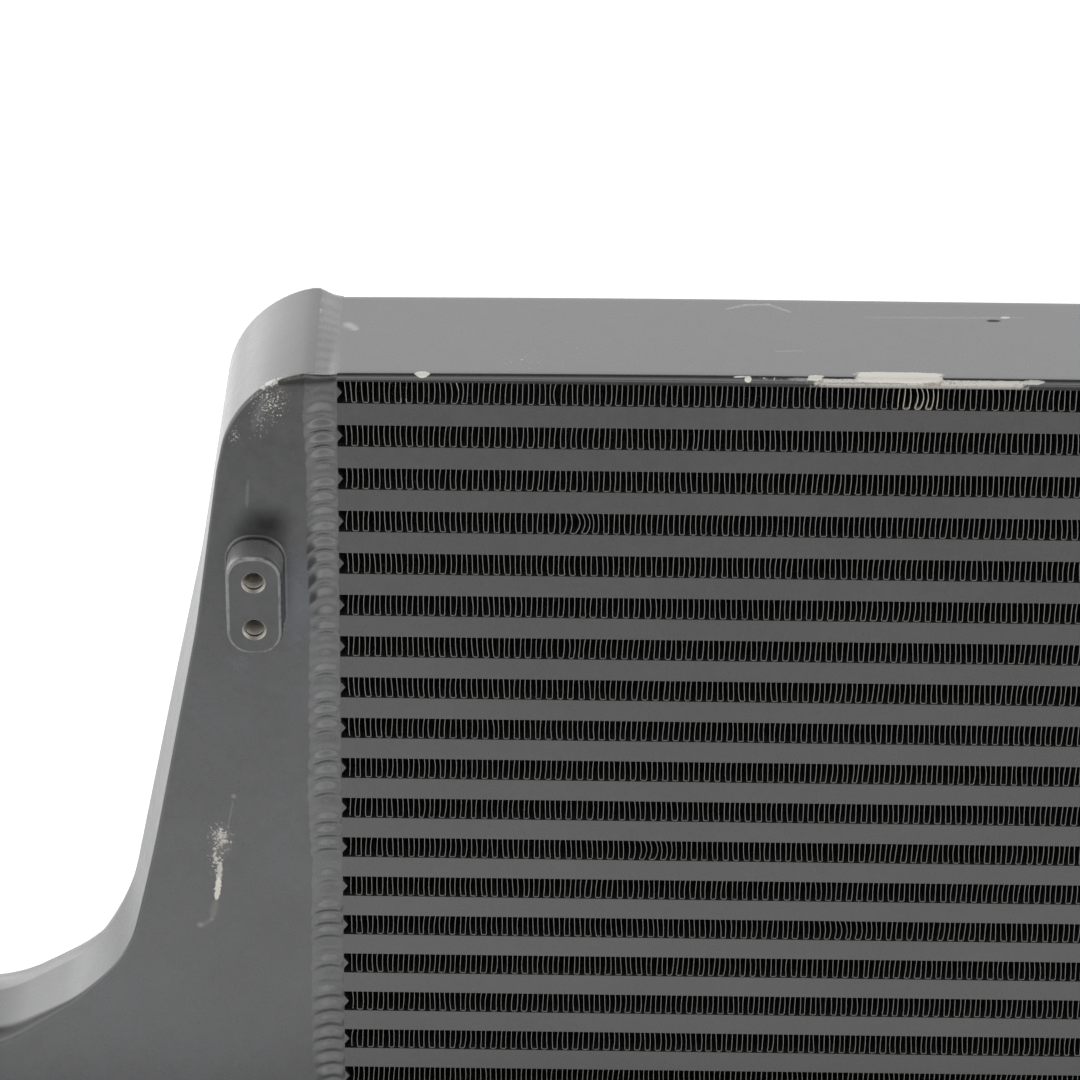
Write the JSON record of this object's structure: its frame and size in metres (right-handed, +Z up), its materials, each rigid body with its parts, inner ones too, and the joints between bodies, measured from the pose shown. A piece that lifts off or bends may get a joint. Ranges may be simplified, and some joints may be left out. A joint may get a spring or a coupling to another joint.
{
  "type": "intercooler",
  "caption": "Bar-and-plate air-to-air intercooler in worn satin dark grey paint, with a cast end tank, hose neck and bolt boss at each end.",
  "frame": {"origin": "centre of the underside, on the flat base of the core and tanks", "axes": "+X along the core towards the right hose neck, +Y through the core's depth away from the bosses, +Z up across the fin rows"},
  "size_m": [1, 0.0762, 0.3579],
  "materials": {
    "painted_tank": "satin",
    "painted_core": "satin",
    "painted_fins": "satin",
    "painted_weld": "satin",
    "bare_aluminium": "satin"
  },
  "bodies": {
    "root": {"air_fin_01": "painted_fins", "air_fin_02": "painted_fins", "air_fin_03": "painted_fins", "air_fin_04": "painted_fins", "air_fin_05": "painted_fins", "air_fin_06": "painted_fins", "air_fin_07": "painted_fins", "air_fin_08": "painted_fins", "air_fin_09": "painted_fins", "air_fin_10": "painted_fins", "air_fin_11": "painted_fins", "air_fin_12": "painted_fins", "air_fin_13": "painted_fins", "air_fin_14": "painted_fins", "air_fin_15": "painted_fins", "air_fin_16": "painted_fins", "air_fin_17": "painted_fins", "air_fin_18": "painted_fins", "air_fin_19": "painted_fins", "air_fin_20": "painted_fins", "air_fin_21": "painted_fins", "charge_passage_01": "painted_core", "charge_passage_02": "painted_core", "charge_passage_03": "painted_core", "charge_passage_04": "painted_core", "charge_passage_05": "painted_core", "charge_passage_06": "painted_core", "charge_passage_07": "painted_core", "charge_passage_08": "painted_core", "charge_passage_09": "painted_core", "charge_passage_10": "painted_core", "charge_passage_11": "painted_core", "charge_passage_12": "painted_core", "charge_passage_13": "painted_core", "charge_passage_14": "painted_core", "charge_passage_15": "painted_core", "charge_passage_16": "painted_core", "charge_passage_17": "painted_core", "charge_passage_18": "painted_core", "charge_passage_19": "painted_core", "charge_passage_20": "painted_core", "turbulators": "bare_aluminium", "left_end_bars": "painted_core", "right_end_bars": "painted_core", "bottom_plate": "painted_core", "top_plate": "painted_core", "left_tank": "painted_tank", "right_tank": "painted_tank", "left_weld_bead": "painted_weld", "right_weld_bead": "painted_weld"}
  },
  "joints": []
}
